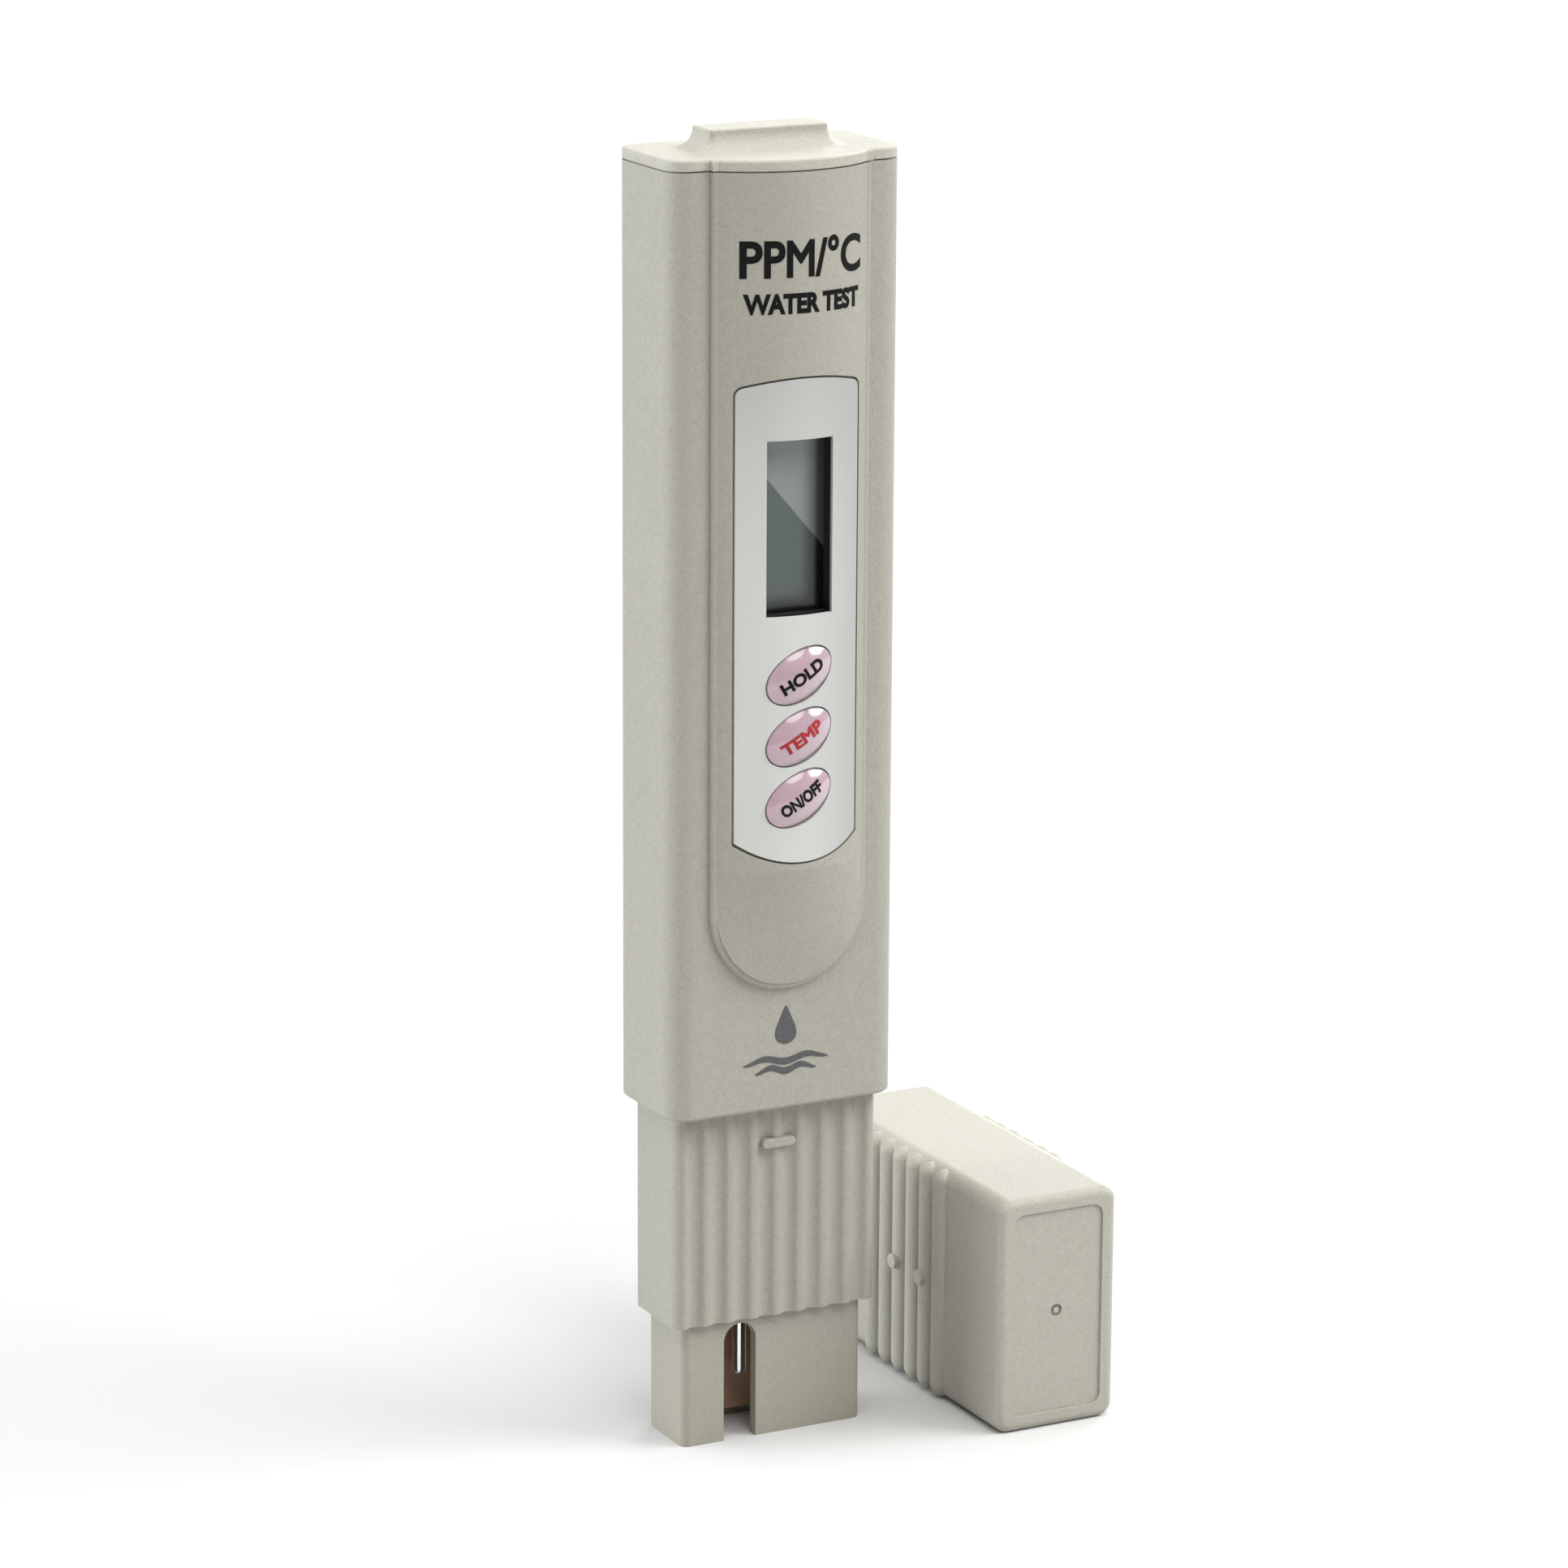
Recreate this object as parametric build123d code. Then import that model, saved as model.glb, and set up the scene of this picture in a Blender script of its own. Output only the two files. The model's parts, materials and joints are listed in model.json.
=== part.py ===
from build123d import *
from math import cos, radians, sin, sqrt
import os

# Pen-type water tester: a moulded tube on a ribbed probe, with its protective cap lying beside it.
# Millimetres. +Z runs up the pen, -Y is the front with the display and keys, +X is the pen's right.
# The origin is on the pen's axis, at the open lower end of the probe.

# Outside of the tube
body_width = 29.2
body_depth = 15.0
body_length = 109.55
body_corner = 2.8
body_wall = 1.45
body_bottom_edge = 0.45
stop_depth = 1.0
stop_height = 1.2

# Raised front: a flat pad with a round lower end, and a domed strip along it
# bulge_side is how far it reaches past the cells on each side, as its hollow makes room for them
bulge_side = 4.2
bulge_step = 0.75
bulge_height = 3.3
bulge_end_height = 0.15
pad_end_rise = 14.6
pad_edge = 0.6
pad_margin = 0.7

# Probe: the part of the pen below the tube
shroud_length = 15.0
shroud_width = 23.5
shroud_depth = 9.2
shroud_wall = 1.4
shroud_corner = 1.0
slot_width = 4.2
slot_offset = 4.3
slot_height = 14.3
collar_length = 25.85
collar_width = 26.3
collar_depth = 11.4
collar_corner = 1.5
flute_count = 8
flute_pitch = 3.05
flute_width = 2.1
flute_depth = 0.55
flute_crest = 0.8
detent_width = 4.3
detent_height = 1.1
detent_rise = 0.45
detent_drop = 4.6
detent_corner = 0.5
detent_edge = 0.2
plug_length = 10.0
plug_wall = 1.7
bore_corner = 1.0
seal_height = 1.6
seal_thick = 0.75
seal_corner = 0.4

# Clearances
slide_fit = 0.15
seal_fit = 0.08
key_fit = 0.14
stem_fit = 0.3
label_gap = 0.24
face_gap = 0.05
part_gap = 0.1

# Label plate on the raised front
label_width = 15.4
label_length = 55.8
label_top_drop = 23.2
label_thick = 0.5
label_top_rise = 1.1
label_bottom_rise = 2.5
label_corner = 1.0

# Display and keys, which stand a little left of the label's middle
face_shift = -0.4

# Display
window_width = 8.2
window_height = 20.2
window_drop = 6.9
glass_width = 10.8
glass_height = 24.6
glass_thick = 1.0
rear_glass_inset = 2.2
gasket_wall = 0.55
gasket_flange = 0.35
display_depth = 2.6
frame_wall = 1.0

# Keys, from the top of the label plate down
key_names = ["hold", "temp", "power"]
key_first_drop = 34.0
key_pitch = 7.15
key_length = 8.7
key_height = 5.6
key_tilt = 31.5
key_rise = 0.75
key_edge_sink = 0.55
key_dome_spread = 1.06
key_pocket = 0.5
key_travel = 0.3
key_stem_radius = 1.3
key_flange_radius = 2.1
key_flange_thick = 0.45
switch_size = 5.0
switch_depth = 2.1
plunger_radius = 1.25
plunger_bore_depth = 1.3
plunger_gap = 0.2

# Circuit board, and what is soldered on its back
board_width = 21.0
board_thick = 1.2
board_front_gap = 0.25
board_bottom_rise = 13.0
board_top_gap = 0.45
rail_width = 2.6
rail_depth = 0.9
chip_radius = 4.6
chip_height = 1.5
chip_edge = 1.1
chip_x = -1.0
resistor_count = 6
resistor_size = (1.2, 0.5, 2.0)
resistor_columns = (3.8, 6.2)
resistor_rise = 40.0
resistor_pitch = 3.0
capacitor_count = 4
capacitor_size = (1.6, 0.9, 2.5)
capacitor_x = -5.6
capacitor_rise = 38.0
capacitor_pitch = 4.2
crystal_radius = 1.0
crystal_length = 6.0
crystal_x = 6.5
crystal_rise = 33.0

# Calibration trimmer
trimmer_rise = 24.0
trimmer_size = 6.6
trimmer_depth = 3.4
trimmer_bore_radius = 1.7
trimmer_bore_depth = 1.5
rotor_fit = 0.07
rotor_rise = 0.4
rotor_lift = 0.02
rotor_slot_width = 0.6
rotor_slot_depth = 0.8
access_radius = 1.9

# Cells, holder and contacts
cell_radius = 5.8
cell_thick = 5.4
cell_gap = 0.25
cell_top_drop = 5.9
cell_neck = 0.7
cell_neck_depth = 1.0
cell_edge = 0.4
contact_thick = 0.3
contact_width = 6.0
contact_foot = 1.5
contact_top = 0.4
holder_wall = 1.3
holder_end_wall = 0.4
holder_lip = 2.0

# Battery cap
lid_thick = 1.4
lid_edge = 0.3
seam_height = 0.2
seam_depth = 0.3
skirt_depth = 5.0
skirt_wall = 1.2
gasket_ring_height = 1.2
gasket_ring_depth = 0.55
skirt_inner_corner = 0.4
tab_width = 14.9
tab_depth = 4.8
tab_height = 2.45
tab_foot = 2.2
tab_corner = 0.5
tab_edge = 0.25

# Electrodes, temperature probe and their leads
electrode_radius = 0.85
electrode_spacing = 4.2
electrode_tip = 6.1
electrode_top_rise = 3.0
block_height = 9.0
block_lift = 0.3
liner_thick = 0.8
liner_rise = 1.1
thermistor_radius = 0.8
thermistor_offset = 6.4
thermistor_tip = 9.4
lead_radius = 0.5
lead_bend = 5.0
lead_jog = 13.0
lead_end = 5.0

# Protective cap, lying on its narrow side
cap_end_wall = 2.2
cap_end_gap = 0.95
cap_fit = 0.3
cap_side_wall = 0.95
cap_face_wall = 1.9
cap_corner = 1.8
cap_inner_corner = 1.1
cap_end_edge = 1.0
cap_x = 31.0
cap_end_y = -17.6
rib_count = 6
rib_pitch = 3.3
rib_first = 14.5
rib_width = 2.7
rib_rise = 0.85
rib_end_inset = 0.35
nub_ribs = (1, 3)
nub_radius = 0.9
nub_rise = 0.35
panel_border = 1.9
panel_depth = 0.25
panel_corner = 1.4
gate_radius = 0.75
gate_depth = 0.35
gate_pip_radius = 0.35

# Heights and depths worked out from the sizes above
collar_bottom = shroud_length
body_bottom = collar_bottom + collar_length
body_top = body_bottom + body_length
front_y = -body_depth / 2
cavity_width = body_width - 2 * body_wall
cavity_depth = body_depth - 2 * body_wall
cavity_corner = body_corner - body_wall
plug_top = body_bottom + plug_length
plug_width = cavity_width - 2 * slide_fit
plug_depth = cavity_depth - 2 * slide_fit
seal_inner_width = plug_width - 2 * seal_thick
seal_inner_depth = plug_depth - 2 * seal_thick

bulge_half = cell_radius + bulge_side
dome_half = bulge_half - pad_margin
pad_y = front_y - bulge_step
crest_y = pad_y - bulge_height
bulge_radius = (dome_half ** 2 + bulge_height ** 2) / (2 * bulge_height)
bulge_centre_y = crest_y + bulge_radius
pad_arc_z = body_bottom + pad_end_rise + bulge_half

label_top = body_top - label_top_drop
label_bottom = label_top - label_length
recess_radius = bulge_radius - label_thick - face_gap
bulge_inner_radius = recess_radius - body_wall
window_top = label_top - window_drop
window_z = window_top - window_height / 2
display_y = crest_y + display_depth
key_z = [label_top - key_first_drop - i * key_pitch for i in range(len(key_names))]

board_front_y = -cavity_depth / 2 + board_front_gap
board_back_y = board_front_y + board_thick
board_bottom = body_bottom + board_bottom_rise
trimmer_z = board_bottom + trimmer_rise
trimmer_back_y = board_back_y + trimmer_depth

holder_depth = 2 * (cell_thick + contact_thick + holder_end_wall + 2 * face_gap)
holder_back_y = cavity_depth / 2 - part_gap
holder_front_y = holder_back_y - holder_depth
cells_front_y = holder_front_y + holder_end_wall + contact_thick + 2 * face_gap
cells_back_y = cells_front_y + 2 * cell_thick
cell_z = body_top - cell_top_drop - cell_radius
holder_reach = cell_radius + cell_gap
holder_half = holder_reach + holder_wall
board_top = cell_z - holder_half - board_top_gap

block_bottom = slot_height + block_lift
block_top = block_bottom + block_height
cavity_inner_width = shroud_width - 2 * shroud_wall
cavity_inner_depth = shroud_depth - 2 * shroud_wall

cap_length = shroud_length + collar_length + cap_end_wall + cap_end_gap
cap_inner_width = collar_width + 2 * cap_fit
cap_inner_depth = collar_depth + 2 * cap_fit
cap_width = cap_inner_width + 2 * cap_side_wall
cap_depth = cap_inner_depth + 2 * cap_face_wall

parts = {}


def rounded_bar(width, depth, corner, low, high):
    """A rounded rectangle about the Z axis, between two heights."""
    outline = Pos(0, 0, low) * RectangleRounded(width, depth, corner)
    return extrude(outline, high - low)


def block(x_span, y_span, z_span):
    """A box between two corners, given as spans along X, Y and Z."""
    size = [span[1] - span[0] for span in (x_span, y_span, z_span)]
    middle = [(span[1] + span[0]) / 2 for span in (x_span, y_span, z_span)]
    return Pos(*middle) * Box(*size)


def y_cylinder(radius, x, z, front, back):
    """A round bar along Y."""
    return Pos(x, (front + back) / 2, z) * Rot(90, 0, 0) * Cylinder(radius, back - front)


def z_cylinder(radius, x, y, low, high):
    """A round bar along Z."""
    return Pos(x, y, (low + high) / 2) * Cylinder(radius, high - low)


def bulge_cylinder(radius, low, high):
    """The long cylinder that the domed front is a slice of."""
    return z_cylinder(radius, 0, bulge_centre_y, low, high)


def pad_outline(inset):
    """The raised front's outline, seen from the front: straight sides and a half-round lower end."""
    half = bulge_half - inset
    straight = Pos(0, (pad_arc_z + body_top) / 2) * Rectangle(2 * half, body_top - pad_arc_z)
    return straight + Pos(0, pad_arc_z) * Circle(half)


def dome_y(radius, x):
    """The depth of one of the domed front's concentric surfaces, at a place across it."""
    return bulge_centre_y - sqrt(radius ** 2 - x ** 2)


def dome_section(height, z):
    """The domed strip's cross-section, with a given height over the pad."""
    arc = ThreePointArc((-dome_half, pad_y), (0, pad_y - height), (dome_half, pad_y))
    back = Polyline((dome_half, pad_y), (dome_half, 0), (-dome_half, 0), (-dome_half, pad_y))
    return Pos(0, 0, z) * make_face([arc, back])


def front_prism(outline, front, back):
    """An outline drawn in X and Z, pushed from one depth to another."""
    plane = Plane((0, back, 0), x_dir=(1, 0, 0), z_dir=(0, -1, 0))
    return extrude(plane * outline, back - front)


def make_bulge():
    """The raised front: a flat pad all over, and a dome that sinks into it below the label."""
    pad = front_prism(pad_outline(0), pad_y, 0)
    rim = [e for e in pad.edges() if abs(e.center().Y - pad_y) < 0.01 and e.center().Z < body_top - 1]
    pad = fillet(rim, pad_edge)
    tail_top = label_bottom - label_gap - pad_margin
    tail_end = pad_arc_z - dome_half
    dome = extrude(dome_section(bulge_height, tail_top), body_top - tail_top)
    tail = loft([dome_section(bulge_height, tail_top), dome_section(bulge_end_height, tail_end)], ruled=True)
    tail &= front_prism(pad_outline(pad_margin), crest_y - 1, 0)
    return pad + dome + tail


def make_housing_shell():
    """The one-piece tube, open at both ends, with its raised front hollowed from inside."""
    shell = rounded_bar(body_width, body_depth, body_corner, body_bottom, body_top)
    low_rim = [e for e in shell.edges() if abs(e.center().Z - body_bottom) < 0.01]
    shell = fillet(low_rim, body_bottom_edge)
    shell += make_bulge()
    shell -= rounded_bar(cavity_width, cavity_depth, cavity_corner, body_bottom - 1, body_top + 1)
    hollow = bulge_cylinder(bulge_inner_radius, label_bottom, body_top + 1)
    hollow &= block((-dome_half + body_wall, dome_half - body_wall), (crest_y, 0), (label_bottom, body_top + 1))
    shell -= hollow
    # the probe's plug stops against this ledge inside the tube
    ledge = rounded_bar(body_width - body_wall, body_depth - body_wall, body_corner, plug_top, plug_top + stop_height)
    ledge -= rounded_bar(
        cavity_width - 2 * stop_depth, cavity_depth - 2 * stop_depth, cavity_corner, plug_top, plug_top + stop_height
    )
    return shell + ledge


def label_outline(gap):
    """The label plate's outline, seen from the front, grown by a gap: straight sides and arched ends."""
    half = label_width / 2 + gap
    top = label_top + gap
    bottom = label_bottom - gap
    corners_top = top - label_top_rise
    corners_bottom = bottom + label_bottom_rise
    right = Line((half, corners_bottom), (half, corners_top))
    over = ThreePointArc((half, corners_top), (0, top), (-half, corners_top))
    left = Line((-half, corners_top), (-half, corners_bottom))
    under = ThreePointArc((-half, corners_bottom), (0, bottom), (half, corners_bottom))
    face = make_face([right, over, left, under])
    upper = face.vertices().sort_by(Axis.Y)[-2:]
    return fillet(upper, label_corner + gap)


def curved_plate(outline, outer_radius, inner_radius):
    """A plate that follows the domed front, with the given outline."""
    prism = front_prism(outline, crest_y - 3, front_y + 2)
    shell = bulge_cylinder(outer_radius, label_bottom - 5, label_top + 5)
    shell -= bulge_cylinder(inner_radius, label_bottom - 6, label_top + 6)
    return prism & shell


def key_ellipse(z, gap):
    """One key's tilted oval, seen from the front, grown by a gap."""
    return Pos(face_shift, z) * Rot(0, 0, key_tilt) * Ellipse(key_length / 2 + gap, key_height / 2 + gap)


def window_outline(gap):
    """The display window, seen from the front, grown by a gap."""
    return Pos(face_shift, window_z) * Rectangle(window_width + 2 * gap, window_height + 2 * gap)


def make_main_housing():
    """The tube with its label recess, window, key holes, board rails and calibration hole."""
    housing = make_housing_shell()
    housing -= curved_plate(label_outline(label_gap), bulge_radius + 1, recess_radius)
    housing -= front_prism(window_outline(gasket_wall + part_gap), crest_y - 1, front_y + 1)
    pocket = Pos(face_shift, window_z) * Rectangle(glass_width + 2 * part_gap, glass_height + 2 * part_gap)
    housing -= front_prism(pocket, display_y - gasket_flange - part_gap, front_y + 1)
    for z in key_z:
        floor = curved_plate(key_ellipse(z, key_fit), bulge_radius, recess_radius - key_pocket)
        housing -= floor
        housing -= y_cylinder(key_stem_radius + stem_fit, face_shift, z, crest_y - 1, front_y + 1)
    for side in (-1, 1):
        outer = side * (cavity_width / 2 + 0.3)
        inner = side * (cavity_width / 2 - rail_width)
        rail_front = board_back_y + part_gap
        span = (min(outer, inner), max(outer, inner))
        housing += block(span, (rail_front, rail_front + rail_depth), (board_bottom, board_top))
    housing -= y_cylinder(access_radius, 0, trimmer_z, 0, body_depth)
    return housing


def probe_slots(gap):
    """The two sample slots, the back one a mirror of the front one about the pen's axis."""
    slots = []
    for side in (-1, 1):
        front, back = (-shroud_depth, 0) if side < 0 else (0, shroud_depth)
        half = slot_width / 2 + gap
        x = side * slot_offset
        arc_z = slot_height - slot_width / 2
        slot = block((x - half, x + half), (front, back), (-1, arc_z))
        slot += y_cylinder(half, x, arc_z, front, back)
        slots.append(slot)
    return slots


def fluted_section():
    """The collar's cross-section, with rounded flutes and crests along its front and back."""
    section = RectangleRounded(collar_width, collar_depth, collar_corner)
    flute_radius = ((flute_width / 2) ** 2 + flute_depth ** 2) / (2 * flute_depth)
    flute_y = collar_depth / 2 + flute_radius - flute_depth
    for i in range(flute_count):
        x = (i - (flute_count - 1) / 2) * flute_pitch
        for side in (-1, 1):
            section -= Pos(x, side * flute_y) * Circle(flute_radius)
    crests = [v for v in section.vertices() if abs(v.Y) > collar_depth / 2 - flute_depth / 2]
    return fillet(crests, flute_crest)


def make_probe_housing():
    """The fluted collar, the slotted shroud round the electrodes and the plug that fits up the tube."""
    section = fluted_section()
    collar = extrude(Pos(0, 0, collar_bottom) * section, collar_length)
    bar_z = body_bottom - detent_drop
    for side in (-1, 1):
        bar = Pos(0, side * collar_depth / 2, bar_z) * Box(detent_width, 2 * detent_rise, detent_height)
        bar = fillet(bar.edges().filter_by(Axis.Y), detent_corner)
        outer = bar.faces().sort_by(Axis.Y)[0 if side < 0 else -1]
        collar += fillet(outer.edges(), detent_edge)
    shroud = rounded_bar(shroud_width, shroud_depth, shroud_corner, 0, collar_bottom)
    plug = rounded_bar(plug_width, plug_depth, cavity_corner, body_bottom, plug_top)
    groove_low = body_bottom + plug_length / 2
    groove = rounded_bar(plug_width + 1, plug_depth + 1, cavity_corner, groove_low, groove_low + seal_height)
    groove -= rounded_bar(seal_inner_width, seal_inner_depth, seal_corner, groove_low, groove_low + seal_height)
    probe = collar + shroud + plug - groove
    probe -= block(
        (-cavity_inner_width / 2, cavity_inner_width / 2),
        (-cavity_inner_depth / 2, cavity_inner_depth / 2),
        (-1, block_top),
    )
    bore_width = plug_width - 2 * plug_wall
    bore_depth = plug_depth - 2 * plug_wall - 2 * flute_depth
    probe -= rounded_bar(bore_width, bore_depth, bore_corner, block_top, plug_top + 1)
    for slot in probe_slots(0):
        probe -= slot
    return probe


def make_probe_seal():
    """The soft ring that seals the plug in the tube."""
    low = body_bottom + plug_length / 2 + part_gap
    high = low + seal_height - 2 * part_gap
    width = cavity_width - 2 * face_gap
    depth = cavity_depth - 2 * face_gap
    ring = rounded_bar(width, depth, cavity_corner, low, high)
    inner = rounded_bar(seal_inner_width + 2 * face_gap, seal_inner_depth + 2 * face_gap, seal_corner, low, high)
    return ring - inner


def make_electrode_block():
    """The dark insulator above the sample chamber, with a liner down the chamber's back wall."""
    half_width = cavity_inner_width / 2 - part_gap
    half_depth = cavity_inner_depth / 2 - part_gap
    body = block((-half_width, half_width), (-half_depth, half_depth), (block_bottom, block_top))
    liner = block((-half_width, half_width), (half_depth - liner_thick, half_depth), (liner_rise, block_bottom))
    body += liner
    body -= probe_slots(part_gap)[1]
    for side in (-1, 1):
        x = side * electrode_spacing / 2
        body -= z_cylinder(electrode_radius + face_gap / 2, x, 0, block_bottom - 1, block_top + 1)
    body -= z_cylinder(thermistor_radius + face_gap / 2, thermistor_offset, 0, block_bottom - 1, block_top + 1)
    return body


def make_pin(radius, x, tip):
    """A round pin through the insulator, with a ball end in the sample chamber."""
    pin = z_cylinder(radius, x, 0, tip + radius, block_top + electrode_top_rise)
    return pin + Pos(x, 0, tip + radius) * Sphere(radius)


def make_lead(x, start_y):
    """An insulated lead from the top of a pin to the back of the circuit board."""
    bottom = block_top + electrode_top_rise + face_gap
    lead_y = board_back_y + face_gap + lead_radius
    points = [
        (x, start_y, bottom),
        (x, start_y, plug_top - lead_jog / 3),
        (x, lead_y, plug_top + lead_jog * 2 / 3),
        (x, lead_y, plug_top + lead_jog * 2 / 3 + lead_end),
    ]
    route = FilletPolyline(*points, radius=lead_bend)
    start = Plane(origin=points[0], z_dir=(0, 0, 1))
    return sweep(start * Circle(lead_radius), path=route)


def make_front_label():
    """The pale label plate, with its display window and three key holes."""
    plate = curved_plate(label_outline(0), bulge_radius, bulge_radius - label_thick)
    plate -= front_prism(window_outline(0), crest_y - 1, front_y + 1)
    for z in key_z:
        plate -= front_prism(key_ellipse(z, key_fit), crest_y - 1, front_y + 1)
    return plate


def make_lcd_gasket():
    """The black frame that lines the window and carries the display's front edge."""
    sleeve_front = dome_y(bulge_radius - label_thick, window_width / 2 + gasket_wall - face_shift) + part_gap
    flange_front = display_y - gasket_flange
    sleeve = front_prism(window_outline(gasket_wall), sleeve_front, display_y)
    flange = Pos(face_shift, window_z) * Rectangle(glass_width, glass_height)
    ring = sleeve + front_prism(flange, flange_front, display_y)
    return ring - front_prism(window_outline(0), crest_y - 1, front_y + 1)


def display_block(low_x, high_x, front, back, margin):
    """A block behind the window, with X measured from the window's middle, and a margin past the glass."""
    reach = glass_height / 2 + margin
    return block(
        (face_shift + low_x - margin, face_shift + high_x + margin),
        (front, back),
        (window_z - reach, window_z + reach),
    )


def make_display():
    """The display: two glasses, the rubber connector strip on the front one's ledge and the frame."""
    half = glass_width / 2
    ledge = half - rear_glass_inset
    middle_y = display_y + glass_thick
    back_y = middle_y + glass_thick
    parts["lcd_front_glass"] = display_block(-half, half, display_y, middle_y, 0)
    parts["lcd_rear_glass"] = display_block(-half, ledge, middle_y, back_y, 0)
    parts["zebra_strip"] = display_block(ledge + 2 * part_gap, half, middle_y, board_front_y, -part_gap)
    frame_front = dome_y(bulge_inner_radius, half + part_gap + frame_wall - face_shift) + part_gap
    frame = display_block(-half, half, frame_front, board_front_y, part_gap + frame_wall)
    frame -= display_block(-half, half, frame_front - 1, board_front_y + 1, part_gap)
    parts["lcd_frame"] = frame


def make_key(name, z):
    """A domed key with its stem, the plunger behind it, and the switch base on the board."""
    dome_peak = crest_y - key_rise
    dome_rise = key_rise + key_edge_sink
    half_length = key_length / 2
    ball_radius = (half_length ** 2 + dome_rise ** 2) / (2 * dome_rise)
    ball = Pos(0, dome_peak + ball_radius, 0) * Sphere(ball_radius)
    dome = scale(ball, by=(key_dome_spread, 1, key_dome_spread * key_height / key_length))
    head = front_prism(key_ellipse(z, 0), dome_peak - 1, front_y)
    head -= bulge_cylinder(recess_radius, z - key_length, z + key_length)
    head &= Pos(face_shift, 0, z) * Rot(0, -key_tilt, 0) * dome
    flange_front = dome_y(bulge_inner_radius, key_flange_radius - face_shift) + slide_fit
    flange_back = flange_front + key_flange_thick
    stem = y_cylinder(key_stem_radius, face_shift, z, crest_y + label_thick / 2, flange_back)
    flange = y_cylinder(key_flange_radius, face_shift, z, flange_front, flange_back)
    parts[name + "_key"] = head + stem + flange
    switch_front = board_front_y - switch_depth
    bore_end = switch_front + plunger_bore_depth
    plunger_back = bore_end - key_travel - plunger_gap
    parts[name + "_plunger"] = y_cylinder(plunger_radius, face_shift, z, flange_back, plunger_back)
    half = switch_size / 2
    base = block((face_shift - half, face_shift + half), (switch_front, board_front_y), (z - half, z + half))
    bore = y_cylinder(plunger_radius + stem_fit, face_shift, z, switch_front - 1, bore_end)
    parts[name + "_switch"] = base - bore


def on_board(size, x, z):
    """A small box soldered on the board's back, given by its size along X, Y and Z."""
    middle_y = board_back_y + size[1] / 2
    return Pos(x, middle_y, z) * Box(*size)


def make_board():
    """The circuit board and what is soldered on its back."""
    half = board_width / 2
    board = block((-half, half), (board_front_y, board_back_y), (board_bottom, board_top))
    parts["circuit_board"] = board
    chip = y_cylinder(chip_radius, chip_x, window_z, board_back_y, board_back_y + chip_height)
    back_edge = chip.edges().filter_by(GeomType.CIRCLE).sort_by(Axis.Y)[-1:]
    parts["controller_chip"] = fillet(back_edge, chip_edge)
    resistors = []
    for i in range(resistor_count):
        z = board_bottom + resistor_rise + i * resistor_pitch
        resistors.append(on_board(resistor_size, resistor_columns[i % len(resistor_columns)], z))
    parts["resistors"] = Compound(children=resistors)
    capacitors = []
    for i in range(capacitor_count):
        z = board_bottom + capacitor_rise + i * capacitor_pitch
        capacitors.append(on_board(capacitor_size, capacitor_x, z))
    parts["capacitors"] = Compound(children=capacitors)
    low = board_bottom + crystal_rise - crystal_length / 2
    crystal_y = board_back_y + crystal_radius + face_gap
    parts["crystal"] = z_cylinder(crystal_radius, crystal_x, crystal_y, low, low + crystal_length)


def make_trimmer():
    """The calibration trimmer's body, and the slotted rotor that a screwdriver turns."""
    half = trimmer_size / 2
    z_span = (trimmer_z - half, trimmer_z + half)
    body = block((-half, half), (board_back_y, trimmer_back_y), z_span)
    floor_y = trimmer_back_y - trimmer_bore_depth
    body -= y_cylinder(trimmer_bore_radius, 0, trimmer_z, floor_y, trimmer_back_y + 1)
    parts["trimmer_body"] = body
    rotor_radius = trimmer_bore_radius - rotor_fit
    rotor_back_y = trimmer_back_y + rotor_rise
    half_slot = rotor_slot_width / 2
    rotor = y_cylinder(rotor_radius, 0, trimmer_z, floor_y + rotor_lift, rotor_back_y)
    slot_y = (rotor_back_y - rotor_slot_depth, rotor_back_y + 1)
    rotor -= block((-rotor_radius - 1, rotor_radius + 1), slot_y, (trimmer_z - half_slot, trimmer_z + half_slot))
    parts["trimmer_screw"] = rotor


def make_battery_parts():
    """Two button cells stacked front to back in their cradle, with a contact at each end."""
    holder_top = cell_z + holder_lip
    cradle = block(
        (-holder_half, holder_half),
        (holder_front_y, holder_back_y),
        (cell_z - holder_half, holder_top),
    )
    pocket_front = holder_front_y + holder_end_wall
    pocket_back = holder_back_y - holder_end_wall
    cradle -= y_cylinder(holder_reach, 0, cell_z, pocket_front, pocket_back)
    cradle -= block((-holder_reach, holder_reach), (pocket_front, pocket_back), (cell_z, holder_top + 1))
    parts["battery_holder"] = cradle
    spans = {
        "battery_front": (cells_front_y, cells_front_y + cell_thick),
        "battery_rear": (cells_front_y + cell_thick, cells_back_y),
    }
    for name, (front, back) in spans.items():
        neck_y = back - cell_neck_depth
        can = y_cylinder(cell_radius, 0, cell_z, front, neck_y)
        can = fillet(can.edges().filter_by(GeomType.CIRCLE).sort_by(Axis.Y)[:1], cell_edge)
        parts[name] = can + y_cylinder(cell_radius - cell_neck, 0, cell_z, neck_y, back)
    half = contact_width / 2
    z_span = (cell_z - cell_radius + contact_foot, cell_z + cell_radius + contact_top)
    front = (pocket_front + face_gap, pocket_front + face_gap + contact_thick)
    back = (pocket_back - face_gap - contact_thick, pocket_back - face_gap)
    parts["negative_contact"] = block((-half, half), front, z_span)
    parts["positive_contact"] = block((-half, half), back, z_span)


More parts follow.
